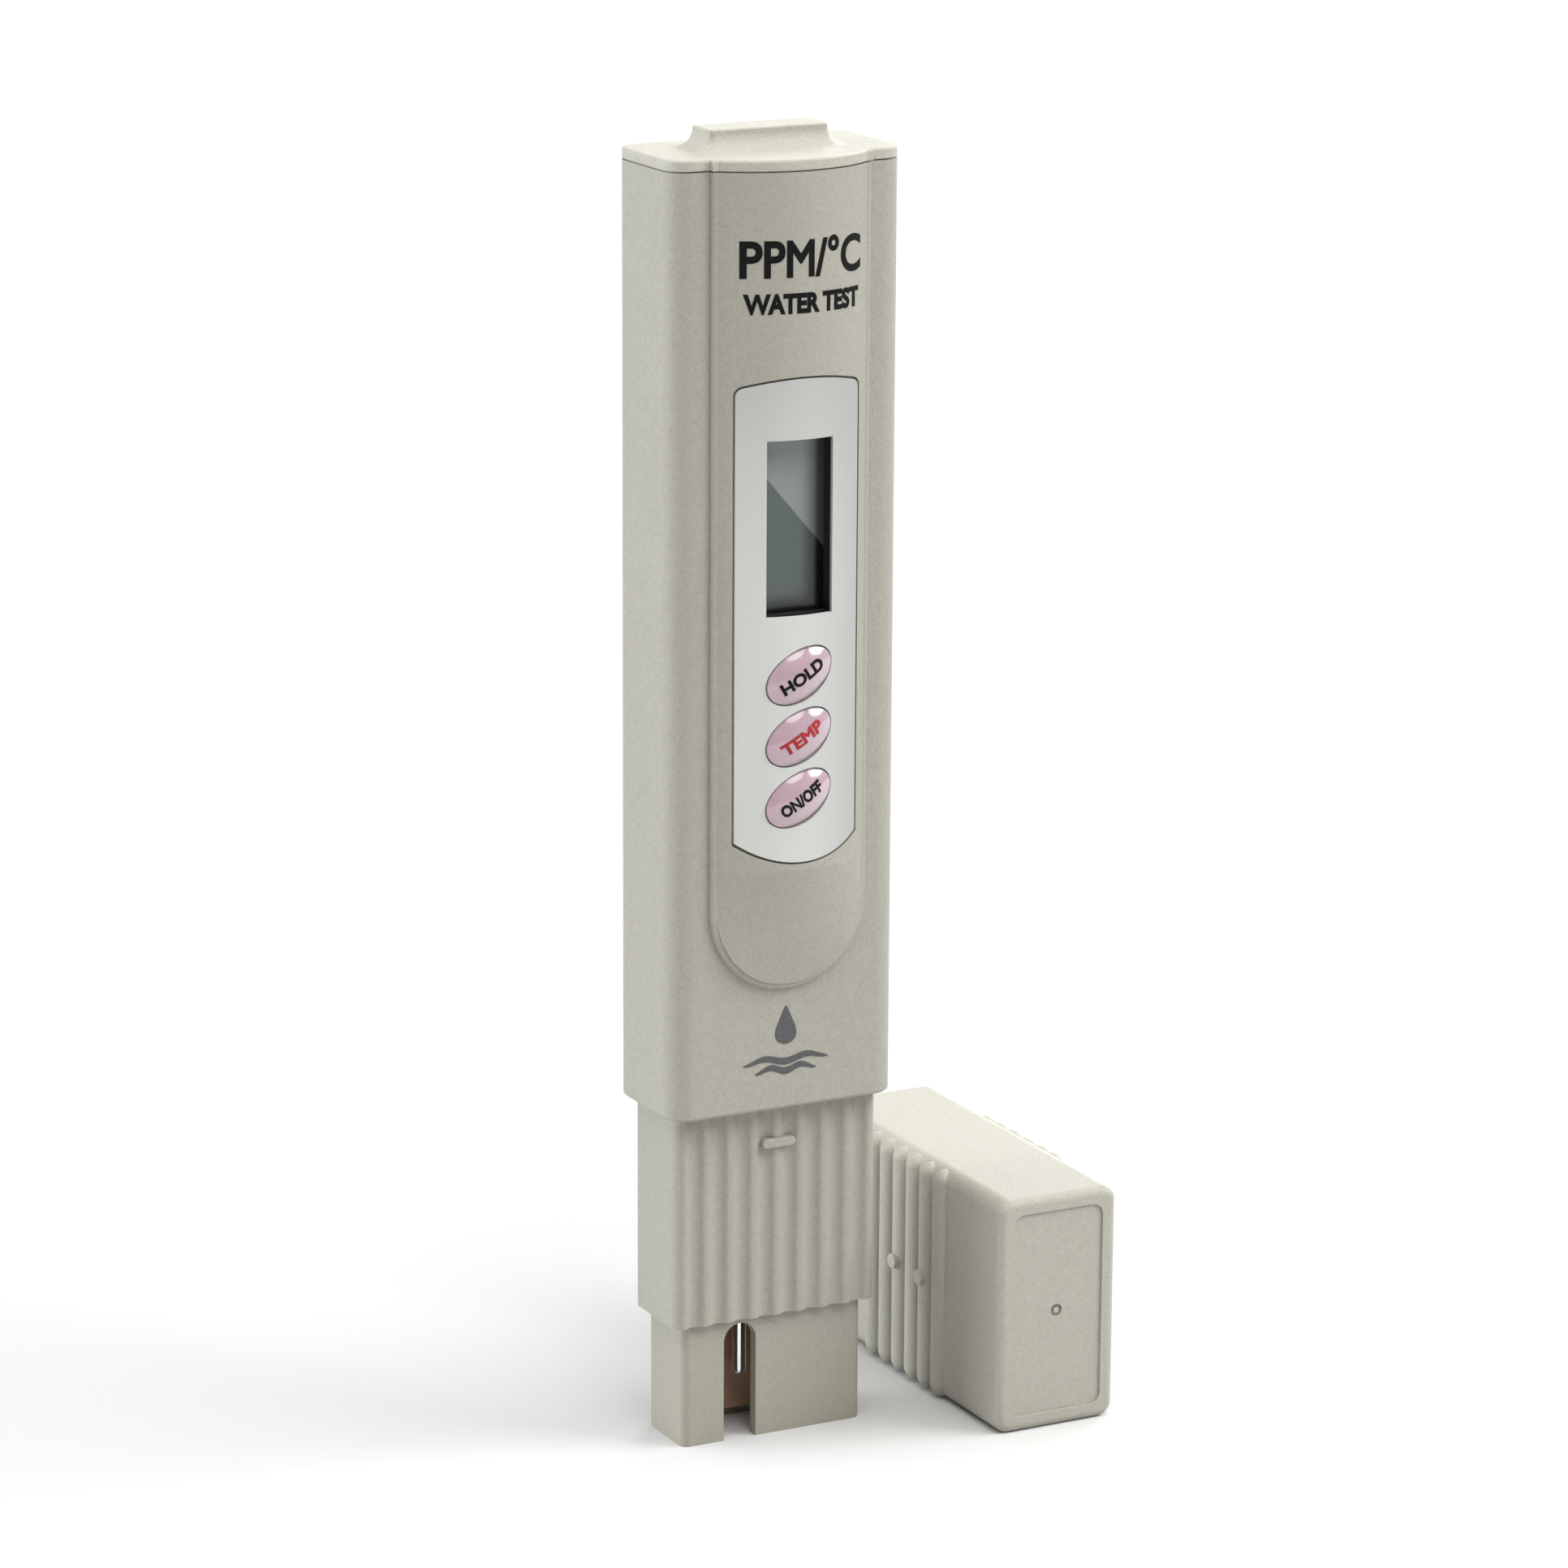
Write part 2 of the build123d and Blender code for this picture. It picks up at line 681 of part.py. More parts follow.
def make_battery_cap():
    """The lid over the cells: the tube's own outline, a finger tab, and a skirt that plugs the tube."""
    outline = RectangleRounded(body_width, body_depth, body_corner)
    outline += Pos(0, pad_y / 2) * Rectangle(2 * bulge_half, -pad_y)
    outline += dome_section(bulge_height, 0)
    lid_top = body_top + lid_thick
    seam_top = body_top + seam_height
    lid = extrude(Pos(0, 0, seam_top) * outline, lid_top - seam_top)
    lid = fillet(lid.faces().sort_by(Axis.Z)[-1].edges(), lid_edge)
    # a narrow groove marks the seam between the lid and the tube
    lid += extrude(Pos(0, 0, body_top) * offset(outline, -seam_depth), seam_height)
    tab = make_tab(lid_top)
    skirt_width = cavity_width - 2 * slide_fit
    skirt_back = cavity_depth - 2 * slide_fit
    skirt = rounded_bar(skirt_width, skirt_back, cavity_corner, body_top - skirt_depth, body_top)
    skirt -= rounded_bar(
        skirt_width - 2 * skirt_wall, skirt_back - 2 * skirt_wall, skirt_inner_corner,
        body_top - skirt_depth - 1, body_top,
    )
    groove_low = body_top - skirt_depth / 2
    groove_high = groove_low + gasket_ring_height
    groove = rounded_bar(skirt_width + 1, skirt_back + 1, cavity_corner, groove_low, groove_high)
    groove -= rounded_bar(
        skirt_width - 2 * gasket_ring_depth, skirt_back - 2 * gasket_ring_depth, skirt_inner_corner,
        groove_low, groove_high,
    )
    parts["battery_cap"] = lid + tab + skirt - groove
    ring = rounded_bar(
        cavity_width - 2 * seal_fit, cavity_depth - 2 * seal_fit, cavity_corner,
        groove_low + face_gap, groove_high - face_gap,
    )
    ring -= rounded_bar(
        skirt_width - 2 * gasket_ring_depth + 2 * face_gap, skirt_back - 2 * gasket_ring_depth + 2 * face_gap,
        skirt_inner_corner, groove_low, groove_high,
    )
    parts["cap_gasket"] = ring


def make_tab(base_z):
    """The finger tab, whose sides flare all the way down into the lid."""
    steps = 8
    flare = min(tab_foot, tab_height - tab_edge)
    rings = []
    for i in range(steps + 1):
        angle = radians(90 * i / steps)
        spread = tab_foot * (1 - sin(angle))
        height = base_z + flare * (1 - cos(angle))
        outline = RectangleRounded(tab_width + 2 * spread, tab_depth + 2 * spread, tab_corner + spread)
        rings.append(Pos(0, 0, height) * outline)
    foot = loft(rings, ruled=False)
    stalk = rounded_bar(tab_width, tab_depth, tab_corner, base_z, base_z + tab_height)
    stalk = fillet(stalk.faces().sort_by(Axis.Z)[-1].edges(), tab_edge)
    return foot + stalk


def make_protective_cap():
    """The cap that covers the probe, lying on its narrow side with its closed end to the front."""
    shell = extrude(RectangleRounded(cap_depth, cap_width, cap_corner), cap_length)
    shell = fillet(shell.faces().sort_by(Axis.Z)[0].edges(), cap_end_edge)
    rib_radius = ((rib_width / 2) ** 2 + rib_rise ** 2) / (2 * rib_rise)
    rib_face = cap_depth / 2 + rib_rise
    rib_end = cap_width / 2 - rib_end_inset - rib_width / 2
    for i in range(rib_count):
        t = rib_first + i * rib_pitch
        for side in (-1, 1):
            x = side * (rib_face - rib_radius)
            shell += Pos(x, 0, t) * Rot(90, 0, 0) * Cylinder(rib_radius, 2 * rib_end)
            shell += Pos(x, -rib_end, t) * Sphere(rib_radius)
            shell += Pos(x, rib_end, t) * Sphere(rib_radius)
    # two small nubs on each wide face give the fingers a place to pull
    for i in nub_ribs:
        t = rib_first + i * rib_pitch
        for side in (-1, 1):
            x = side * (rib_face + nub_rise - rib_rise)
            shell += Pos(x, 0, t) * Rot(0, 90, 0) * Cylinder(nub_radius, 2 * rib_rise)
    panel = RectangleRounded(cap_depth - 2 * panel_border, cap_width - 2 * panel_border, panel_corner)
    shell -= extrude(panel, panel_depth)
    gate = Circle(gate_radius) - Circle(gate_pip_radius)
    shell -= extrude(gate, panel_depth + gate_depth)
    cavity = Pos(0, 0, cap_end_wall) * RectangleRounded(cap_inner_depth, cap_inner_width, cap_inner_corner)
    shell -= extrude(cavity, cap_length)
    # local Z runs along the pen's Y, local Y up, local X across
    place = Plane(origin=(cap_x, cap_end_y, cap_width / 2), x_dir=(-1, 0, 0), z_dir=(0, 1, 0))
    return place * shell


parts["main_housing"] = make_main_housing()
parts["probe_housing"] = make_probe_housing()
parts["probe_seal"] = make_probe_seal()
parts["electrode_block"] = make_electrode_block()
parts["electrode_pin_left"] = make_pin(electrode_radius, -electrode_spacing / 2, electrode_tip)
parts["electrode_pin_right"] = make_pin(electrode_radius, electrode_spacing / 2, electrode_tip)
parts["temperature_probe"] = make_pin(thermistor_radius, thermistor_offset, thermistor_tip)
parts["electrode_lead_left"] = make_lead(-electrode_spacing / 2, 0)
parts["electrode_lead_right"] = make_lead(electrode_spacing / 2, 0)
parts["temperature_lead"] = make_lead(thermistor_offset, 0)
parts["front_label"] = make_front_label()
parts["lcd_gasket"] = make_lcd_gasket()
make_display()
make_board()
make_trimmer()
make_battery_parts()
make_battery_cap()
for name, z in zip(key_names, key_z):
    make_key(name, z)
parts["protective_cap"] = make_protective_cap()

os.makedirs("parts", exist_ok=True)
for name, shape in parts.items():
    export_step(shape, f"parts/{name}.step")
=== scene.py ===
import json
import math
import bpy
from mathutils import Matrix, Vector


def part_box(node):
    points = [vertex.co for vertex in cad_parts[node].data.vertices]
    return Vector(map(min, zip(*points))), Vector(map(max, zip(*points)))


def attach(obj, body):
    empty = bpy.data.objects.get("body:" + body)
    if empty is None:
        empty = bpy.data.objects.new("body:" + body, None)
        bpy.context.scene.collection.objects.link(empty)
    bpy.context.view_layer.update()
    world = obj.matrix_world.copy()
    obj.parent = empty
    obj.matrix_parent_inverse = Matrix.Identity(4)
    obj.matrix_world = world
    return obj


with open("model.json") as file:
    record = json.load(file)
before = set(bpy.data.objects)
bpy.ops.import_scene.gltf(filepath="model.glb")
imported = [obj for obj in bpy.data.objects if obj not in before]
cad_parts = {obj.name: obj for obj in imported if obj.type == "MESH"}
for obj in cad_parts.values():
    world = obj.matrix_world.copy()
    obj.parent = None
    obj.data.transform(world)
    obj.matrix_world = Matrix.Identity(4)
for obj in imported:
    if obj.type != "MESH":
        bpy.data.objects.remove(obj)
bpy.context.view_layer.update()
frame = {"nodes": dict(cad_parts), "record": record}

nodes = frame["nodes"]
mm = 0.001


class Sock:
    # one output socket, so that shader maths reads as an expression
    def __init__(self, finish, socket):
        self.finish = finish
        self.socket = socket

    def math(self, operation, first, second):
        return self.finish.node("ShaderNodeMath", {"operation": operation}, {0: first, 1: second})

    def __add__(self, other):
        return self.math("ADD", self, other)

    def __sub__(self, other):
        return self.math("SUBTRACT", self, other)

    def __mul__(self, other):
        return self.math("MULTIPLY", self, other)

    def __truediv__(self, other):
        return self.math("DIVIDE", self, other)

    def __radd__(self, other):
        return self.math("ADD", other, self)

    def __rsub__(self, other):
        return self.math("SUBTRACT", other, self)

    def __rmul__(self, other):
        return self.math("MULTIPLY", other, self)

    def above(self, edge, soft):
        # 0 below the edge, 1 above it, with a soft step between
        return self.finish.node("ShaderNodeMapRange", {"interpolation_type": "SMOOTHSTEP"},
                                {0: self, 1: edge - soft, 2: edge + soft, 3: 0.0, 4: 1.0})


class Finish:
    # a material with one Principled shader, built by short calls
    def __init__(self, name):
        self.material = bpy.data.materials.new(name)
        self.material.use_nodes = True
        self.tree = self.material.node_tree
        self.shader = self.tree.nodes["Principled BSDF"]
        self.where = self.node("ShaderNodeTexCoord", {}, {}, "Object")

    def node(self, kind, settings, inputs, output=0):
        made = self.tree.nodes.new(kind)
        for key, value in settings.items():
            setattr(made, key, value)
        for key, value in inputs.items():
            self.feed(made.inputs[key], value)
        return Sock(self, made.outputs[output])

    def feed(self, socket, value):
        if isinstance(value, Sock):
            self.tree.links.new(value.socket, socket)
        else:
            socket.default_value = value

    def noise(self, size, detail=2.0, rough=0.5, stretch=(1, 1, 1)):
        # noise whose blobs are about this many millimetres across
        at = self.node("ShaderNodeMapping", {}, {0: self.where, 3: stretch})
        return self.node("ShaderNodeTexNoise", {},
                         {"Vector": at, "Scale": 1 / (size * mm), "Detail": detail, "Roughness": rough})

    def axes(self):
        split = self.tree.nodes.new("ShaderNodeSeparateXYZ")
        self.feed(split.inputs[0], self.where)
        return [Sock(self, split.outputs[i]) for i in range(3)]

    def mix(self, factor, low, high):
        low = (*low, 1.0) if isinstance(low, tuple) else low
        high = (*high, 1.0) if isinstance(high, tuple) else high
        return self.node("ShaderNodeMix", {"data_type": "RGBA"}, {0: factor, 6: low, 7: high}, 2)

    def put(self, **values):
        # shader sockets by name, with _ for a space
        for key, value in values.items():
            socket = self.shader.inputs[key.replace("_", " ")]
            if isinstance(value, tuple) and len(value) == 3 and key.endswith("Color"):
                value = (*value, 1.0)
            self.feed(socket, value)

    def bump(self, height, depth):
        # height from 0 to 1, depth in millimetres
        self.put(Normal=self.node("ShaderNodeBump", {}, {"Distance": depth * mm, "Height": height}))


def shade(colour, amount):
    return tuple(min(1.0, c * amount) for c in colour)


# sizes in millimetres: spark is the moulded grain, speck and cloud are slow changes of tone
bodyLook = {"colour": (0.335, 0.323, 0.278), "roughness": 0.56, "spark": 0.32, "sparkDepth": 0.07,
            "speck": 0.9, "cloud": 14.0}


def mouldedPlastic(name, look, grime=None):
    # warm grey moulding with a fine spark-eroded skin
    f = Finish(name)
    colour = look["colour"]
    spark = f.noise(look["spark"], 3.0, 0.6)
    cloud = f.noise(look["cloud"], 3.0, 0.5)
    speck = f.noise(look["speck"], 4.0, 0.65)
    tone = f.mix(cloud, shade(colour, 0.95), shade(colour, 1.05))
    tone = f.mix(speck.above(0.5, 0.2) * 0.5, tone, shade(colour, 0.85))
    tone = f.mix(spark.above(0.5, 0.2) * 0.7, tone, shade(colour, 1.14))
    # painted shade: towards its bottom the moulding darkens to a brownish tone, in patches
    if grime:
        z = f.axes()[2]
        low = 1 - (z / (grime["height"] * mm)).above(0.5, 0.5)
        patch = f.noise(grime["patch"], 4.0, 0.6).above(0.5, 0.22)
        tone = f.mix(low * (0.45 + 0.55 * patch) * grime["amount"], tone, grime["colour"])
    f.put(Base_Color=tone, Roughness=look["roughness"] - 0.06 + 0.12 * speck)
    f.put(Specular_IOR_Level=0.3)
    f.bump(0.75 * spark + 0.25 * speck, look["sparkDepth"])
    return f.material


# the film's tones; the right side and upper end entries are painted shade
labelLook = {"cloud": 9.0, "grain": 0.16, "pale": (0.58, 0.585, 0.56), "soft": (0.55, 0.555, 0.53),
             "paintedRightShade": (0.31, 0.312, 0.294), "paintedUpperShade": (0.30, 0.303, 0.286),
             "grainTone": (0.52, 0.52, 0.50)}


def labelFilm():
    # satin film with painted shade: its tone falls off towards its right side and its upper end
    f = Finish("labelFilm")
    look = labelLook
    cloud = f.noise(look["cloud"], 3.0)
    grain = f.noise(look["grain"], 2.0, 0.7)
    low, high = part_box("front_label")
    x, _, z = f.axes()
    across = (x - low.x) / (high.x - low.x)
    rising = (z - low.z) / (high.z - low.z)
    tone = f.mix(cloud, look["soft"], look["pale"])
    # painted shade, darker towards the film's right side and its upper end
    tone = f.mix(across.above(0.8, 0.5), tone, look["paintedRightShade"])
    tone = f.mix(rising.above(1.0, 0.5), tone, look["paintedUpperShade"])
    tone = f.mix(grain * 0.14, tone, look["grainTone"])
    f.put(Base_Color=tone, Roughness=0.44 + 0.12 * grain, Specular_IOR_Level=0.25)
    f.bump(grain, 0.006)
    return f.material


# tones of the gel; the rim entry is a painted sheen at the dome's edge
gelLook = {"deep": (0.40, 0.262, 0.318), "clear": (0.50, 0.37, 0.42), "rim": (0.50, 0.42, 0.45),
           "streak": 2.2}


def keyGel():
    # clear pink dome with a painted sheen: pale towards its edge, where its surface turns away from the view
    f = Finish("keyGel")
    look = gelLook
    streak = f.noise(look["streak"], 3.0, 0.5, (1.0, 1.0, 0.45))
    rim = f.node("ShaderNodeLayerWeight", {}, {"Blend": 0.32}, "Facing")
    tone = f.mix(streak, look["deep"], look["clear"])
    # painted sheen: paler where the dome's surface turns away from the view
    tone = f.mix(rim, tone, look["rim"])
    f.put(Base_Color=tone, Roughness=0.12 + 0.10 * streak, Coat_Weight=1.0, Coat_Roughness=0.05)
    f.put(Subsurface_Weight=0.25, Subsurface_Radius=(0.9, 0.5, 0.6), Subsurface_Scale=0.0012)
    f.bump(streak, 0.01)
    return f.material


# the film entries are a painted reflection, a lighter glare over the glass
# margins and steps in millimetres from the glass's edges to the part that the window shows
displayLook = {"glass": (0.072, 0.092, 0.086), "dark": (0.0015, 0.002, 0.0025), "film": (0.205, 0.228, 0.222),
               "paintedGlareDark": (0.040, 0.040, 0.046), "sideMargin": 1.3, "endMargin": 2.2, "sideStep": 1.14,
               "topStep": 0.64, "paintedGlareStart": 0.21, "paintedGlareSlope": 0.46}


def displayGlass():
    # unlit display: grey-green, dark towards its right and lower edges, under a painted reflection: a lighter
    # glare with a slanting edge
    f = Finish("displayGlass")
    look = displayLook
    low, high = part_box("lcd_front_glass")
    x, _, z = f.axes()
    left = low.x + (look["sideMargin"] + look["sideStep"]) * mm
    right = high.x - look["sideMargin"] * mm
    top = high.z - (look["endMargin"] + look["topStep"]) * mm
    bottom = low.z + look["endMargin"] * mm
    across = (x - left) / (right - left) * 0.88
    down = (top - z) / (top - bottom) * 0.97
    grain = f.noise(0.4, 3.0, 0.6)
    fade = 1 - across.above(0.62, 0.15)
    foot = 1 - down.above(0.90, 0.06)
    glass = f.mix(fade * foot * (0.85 + 0.3 * grain), look["dark"], look["glass"])
    # painted reflection: the glare's tone, fading towards the right
    film = f.mix(1 - across.above(0.66, 0.17), look["paintedGlareDark"], look["film"])
    slant = look["paintedGlareStart"] + look["paintedGlareSlope"] * across - down
    # the painted reflection covers the glass above and right of its slanting edge
    tone = f.mix(slant.above(0.0, 0.006), glass, film)
    f.put(Base_Color=tone, Roughness=0.18 + 0.06 * grain, Specular_IOR_Level=0.4)
    f.put(Coat_Weight=0.2, Coat_Roughness=0.03)
    return f.material


def rubber(name, colour, rough=0.62):
    f = Finish(name)
    grain = f.noise(0.3, 3.0, 0.6)
    tone = f.mix(grain, shade(colour, 0.8), shade(colour, 1.25))
    f.put(Base_Color=tone, Roughness=rough - 0.06 + 0.12 * grain)
    f.bump(grain, 0.02)
    return f.material


def metal(name, colour, rough, drag=(1, 1, 1)):
    # bright metal with fine drawing lines
    f = Finish(name)
    line = f.noise(0.25, 3.0, 0.6, drag)
    cloud = f.noise(3.0, 3.0)
    tone = f.mix(cloud, shade(colour, 0.86), shade(colour, 1.06))
    f.put(Base_Color=tone, Metallic=1.0, Roughness=rough - 0.05 + 0.1 * line)
    f.bump(line, 0.004)
    return f.material


def gloss(name, colour, rough):
    # hard shiny moulding or glaze
    f = Finish(name)
    cloud = f.noise(1.5, 3.0)
    grain = f.noise(0.2, 3.0, 0.6)
    tone = f.mix(cloud, shade(colour, 0.88), shade(colour, 1.12))
    f.put(Base_Color=tone, Roughness=rough - 0.04 + 0.1 * grain, Coat_Weight=0.35, Coat_Roughness=0.12)
    f.bump(grain, 0.01)
    return f.material


def boardLacquer():
    # green lacquer over copper tracks
    f = Finish("boardLacquer")
    tracks = f.node("ShaderNodeTexVoronoi", {"feature": "DISTANCE_TO_EDGE", "distance": "EUCLIDEAN"},
                    {"Vector": f.where, "Scale": 420.0, "Randomness": 0.25})
    line = 1 - tracks.above(0.10, 0.03)
    cloud = f.noise(6.0, 3.0)
    tone = f.mix(cloud, (0.012, 0.085, 0.028), (0.02, 0.13, 0.045))
    tone = f.mix(line * 0.7, tone, (0.045, 0.25, 0.08))
    f.put(Base_Color=tone, Roughness=0.22 + 0.12 * cloud, Coat_Weight=0.5, Coat_Roughness=0.1)
    f.bump(line, 0.03)
    return f.material


def printInk(name, colour):
    # screen-printed ink, a little uneven in its cover
    f = Finish(name)
    patch = f.noise(0.5, 3.0, 0.6)
    f.put(Base_Color=f.mix(patch, shade(colour, 0.75), shade(colour, 1.3)), Roughness=0.5 + 0.12 * patch)
    f.put(Specular_IOR_Level=0.12)
    f.bump(patch, 0.004)
    return f.material


def floorPaper():
    # pale paper with a painted shadow: deeper behind the object
    f = Finish("floorPaper")
    cloud = f.noise(60.0, 2.0)
    y = f.axes()[1]
    # painted shadow: the paper darkens behind the object
    tone = f.mix((y / mm).above(-12.0, 30.0), (0.64, 0.637, 0.63), (0.512, 0.51, 0.506))
    tone = f.mix(cloud * 0.03, tone, (0.5, 0.5, 0.5))
    f.put(Base_Color=tone, Roughness=0.9, Specular_IOR_Level=0.1)
    return f.material


# painted light: the protective cap and the battery lid are the body's plastic made 1.14 and 1.22 times as
# light, to stand in for the light on them
capPaintedLightLook = {**bodyLook, "colour": shade(bodyLook["colour"], 1.14)}
lidPaintedLightLook = {**bodyLook, "colour": shade(bodyLook["colour"], 1.22)}
# painted light: the insulator's brown is much lighter than its own, standing in for light in the shaded
# chamber
linerPaintedLightLook = {**bodyLook, "colour": (0.50, 0.315, 0.215), "roughness": 0.45, "spark": 0.3, "sparkDepth": 0.02}
# painted shade low on the probe housing: its height, patch size, amount and brownish colour
probeGrime = {"height": 24.0, "patch": 5.0, "amount": 0.55, "colour": (0.36, 0.335, 0.27)}
finishes = {
    "body_plastic": mouldedPlastic("bodyPlastic", bodyLook),
    "cap_plastic": mouldedPlastic("capPlasticPaintedLight", capPaintedLightLook),
    "label_film": labelFilm(),
    "key_gel": keyGel(),
    "display_glass": displayGlass(),
    "black_rubber": rubber("blackRubber", (0.008, 0.008, 0.008)),
    "seal_rubber": rubber("sealRubber", (0.02, 0.02, 0.023)),
    "insulator": mouldedPlastic("insulatorBrown", linerPaintedLightLook),
    "electrode_steel": metal("electrodeSteel", (0.86, 0.86, 0.85), 0.12, (1, 1, 0.1)),
    "lead_red": rubber("leadRed", (0.45, 0.02, 0.02), 0.45),
    "lead_black": rubber("leadBlack", (0.015, 0.015, 0.015), 0.45),
    "lead_white": rubber("leadWhite", (0.70, 0.70, 0.67), 0.45),
    "board_laminate": boardLacquer(),
    "black_epoxy": gloss("blackEpoxy", (0.008, 0.008, 0.009), 0.3),
    "component_ceramic": gloss("componentCeramic", (0.36, 0.26, 0.15), 0.5),
    "tinned_steel": metal("tinnedSteel", (0.66, 0.66, 0.65), 0.3),
    "switch_plastic": gloss("switchPlastic", (0.02, 0.02, 0.022), 0.45),
    "plunger_plastic": gloss("plungerPlastic", (0.75, 0.73, 0.68), 0.45),
    "trimmer_plastic": gloss("trimmerPlastic", (0.015, 0.07, 0.36), 0.35),
    "rotor_brass": metal("rotorBrass", (0.72, 0.50, 0.20), 0.28),
    "holder_plastic": gloss("holderPlastic", (0.025, 0.025, 0.027), 0.5),
    "frame_plastic": gloss("framePlastic", (0.78, 0.78, 0.76), 0.5),
}


def dress(node, finish):
    for place in nodes[node].material_slots:
        place.material = finish


for entry in frame["record"]["subparts"]:
    dress(entry["node"], finishes[entry["material_slot"]])
# the probe housing gets the body plastic with painted shade towards its bottom
dress("probe_housing", mouldedPlastic("probePlastic", bodyLook, probeGrime))
# the battery lid gets the lighter copy of the body plastic, painted light
dress("battery_cap", mouldedPlastic("lidPlasticPaintedLight", lidPaintedLightLook))
print("finishes done")


def deselectAll():
    if bpy.context.object and bpy.context.object.mode != "OBJECT":
        bpy.ops.object.mode_set(mode="OBJECT")
    bpy.ops.object.select_all(action="DESELECT")


def pick(piece):
    deselectAll()
    piece.select_set(True)
    bpy.context.view_layer.objects.active = piece


def applyAll(piece):
    pick(piece)
    for modifier in list(piece.modifiers):
        bpy.ops.object.modifier_apply(modifier=modifier.name)


def bakePlace(piece):
    # the piece's place goes into its mesh and its object back to the origin
    pick(piece)
    bpy.ops.object.transform_apply(location=True, rotation=True, scale=True)


def sliceAcross(piece, step):
    # cuts along X and Z, so that a flat mark can follow a curved face
    low = [min(v.co[i] for v in piece.data.vertices) for i in range(3)]
    high = [max(v.co[i] for v in piece.data.vertices) for i in range(3)]
    pick(piece)
    bpy.ops.object.mode_set(mode="EDIT")
    bpy.ops.mesh.select_mode(type="FACE")
    bpy.ops.mesh.select_all(action="SELECT")
    bpy.ops.mesh.quads_convert_to_tris(quad_method="BEAUTY", ngon_method="BEAUTY")
    for axis, normal in ((0, (1, 0, 0)), (2, (0, 0, 1))):
        cuts = int((high[axis] - low[axis]) / step)
        for i in range(cuts):
            point = list(low)
            point[axis] += (i + 1) * step
            bpy.ops.mesh.select_all(action="SELECT")
            bpy.ops.mesh.bisect(plane_co=point, plane_no=normal, threshold=1e-7)
    bpy.ops.mesh.select_all(action="SELECT")
    bpy.ops.mesh.remove_doubles(threshold=1e-6)
    bpy.ops.object.mode_set(mode="OBJECT")


markLook = {"step": 0.45 * mm, "lift": 0.012 * mm, "thick": 0.025 * mm}


def layOn(piece, node, body, ink):
    # drops a flat mark onto the face behind it and gives it the thickness of ink
    sliceAcross(piece, markLook["step"])
    wrap = piece.modifiers.new("wrap", "SHRINKWRAP")
    wrap.target = nodes[node]
    wrap.wrap_method = "PROJECT"
    wrap.use_project_y = True
    wrap.use_positive_direction = True
    wrap.use_negative_direction = False
    wrap.wrap_mode = "ABOVE_SURFACE"
    wrap.offset = markLook["lift"]
    film = piece.modifiers.new("film", "SOLIDIFY")
    film.thickness = markLook["thick"]
    film.offset = 1.0
    applyAll(piece)
    piece.data.materials.clear()
    piece.data.materials.append(ink)
    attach(piece, body)


def embolden(piece, weight):
    # pushes the outline of flat letters outward, each corner along its own mitre
    pick(piece)
    bpy.ops.object.mode_set(mode="EDIT")
    bpy.ops.mesh.select_all(action="SELECT")
    bpy.ops.mesh.remove_doubles(threshold=1e-4)
    bpy.ops.object.mode_set(mode="OBJECT")
    mesh = piece.data
    steps = []  # each face's edges, as pairs of corners in turn; an outline edge has no return pair
    for face in mesh.polygons:
        corners = list(face.vertices)
        steps += zip(corners, corners[1:] + corners[:1])
    paired = set(steps)
    pushes = {}
    for start, end in steps:
        if (end, start) not in paired:
            along = mesh.vertices[end].co - mesh.vertices[start].co
            out = Vector((along.y, -along.x, 0)).normalized()
            pushes.setdefault(start, []).append(out)
            pushes.setdefault(end, []).append(out)
    for index, outs in pushes.items():
        total = sum(outs, Vector((0, 0, 0)))
        mesh.vertices[index].co += total * weight / max(0.45, 1 + outs[0].dot(outs[-1]))


def makeWords(name, words, spot, height, width, tilt, weight):
    # flat lettering facing the front, as a mesh, centred on a spot
    deselectAll()
    bpy.ops.object.text_add(location=(0, 0, 0))
    piece = bpy.context.object
    piece.name = name
    piece.data.body = words
    piece.data.align_x = "CENTER"
    piece.data.align_y = "CENTER"
    piece.data.size = 1.0
    piece.data.resolution_u = 6
    bpy.ops.object.convert(target="MESH")
    piece = bpy.context.object
    piece.name = name
    embolden(piece, weight)
    low = [min(v.co[i] for v in piece.data.vertices) for i in range(2)]
    high = [max(v.co[i] for v in piece.data.vertices) for i in range(2)]
    wide = high[0] - low[0]
    tall = high[1] - low[1]
    middle = [(low[i] + high[i]) / 2 for i in range(2)]
    centred = Matrix.Translation((-middle[0], -middle[1], 0))
    sized = Matrix.Diagonal((width / wide, height / tall, 1, 1)) @ centred
    upright = Matrix.Rotation(-tilt, 4, "Y") @ Matrix.Rotation(math.radians(90), 4, "X")
    piece.data.transform(Matrix.Translation(spot) @ upright @ sized)
    return piece


blackInk = printInk("blackInk", (0.004, 0.004, 0.004))
greyInk = printInk("greyInk", (0.095, 0.095, 0.098))
redInk = printInk("redInk", (0.34, 0.03, 0.035))
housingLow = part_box("main_housing")[0]
front = housingLow.y - 2 * mm  # flat marks start in front of the housing

# heights and places in millimetres, weights as a share of the letters' own size
headings = [
    {"name": "unitMark", "words": "PPM/°C", "height": 4.5, "width": 15.3, "z": 140.85, "weight": 0.026},
    {"name": "useMark", "words": "WATER TEST", "height": 2.35, "width": 14.6, "z": 135.75, "weight": 0.05},
]
headingX = 0.25
for mark in headings:
    spot = Vector((headingX * mm, front, mark["z"] * mm))
    piece = makeWords(mark["name"], mark["words"], spot, mark["height"] * mm, mark["width"] * mm,
                      0, mark["weight"])
    layOn(piece, "main_housing", "meter", blackInk)

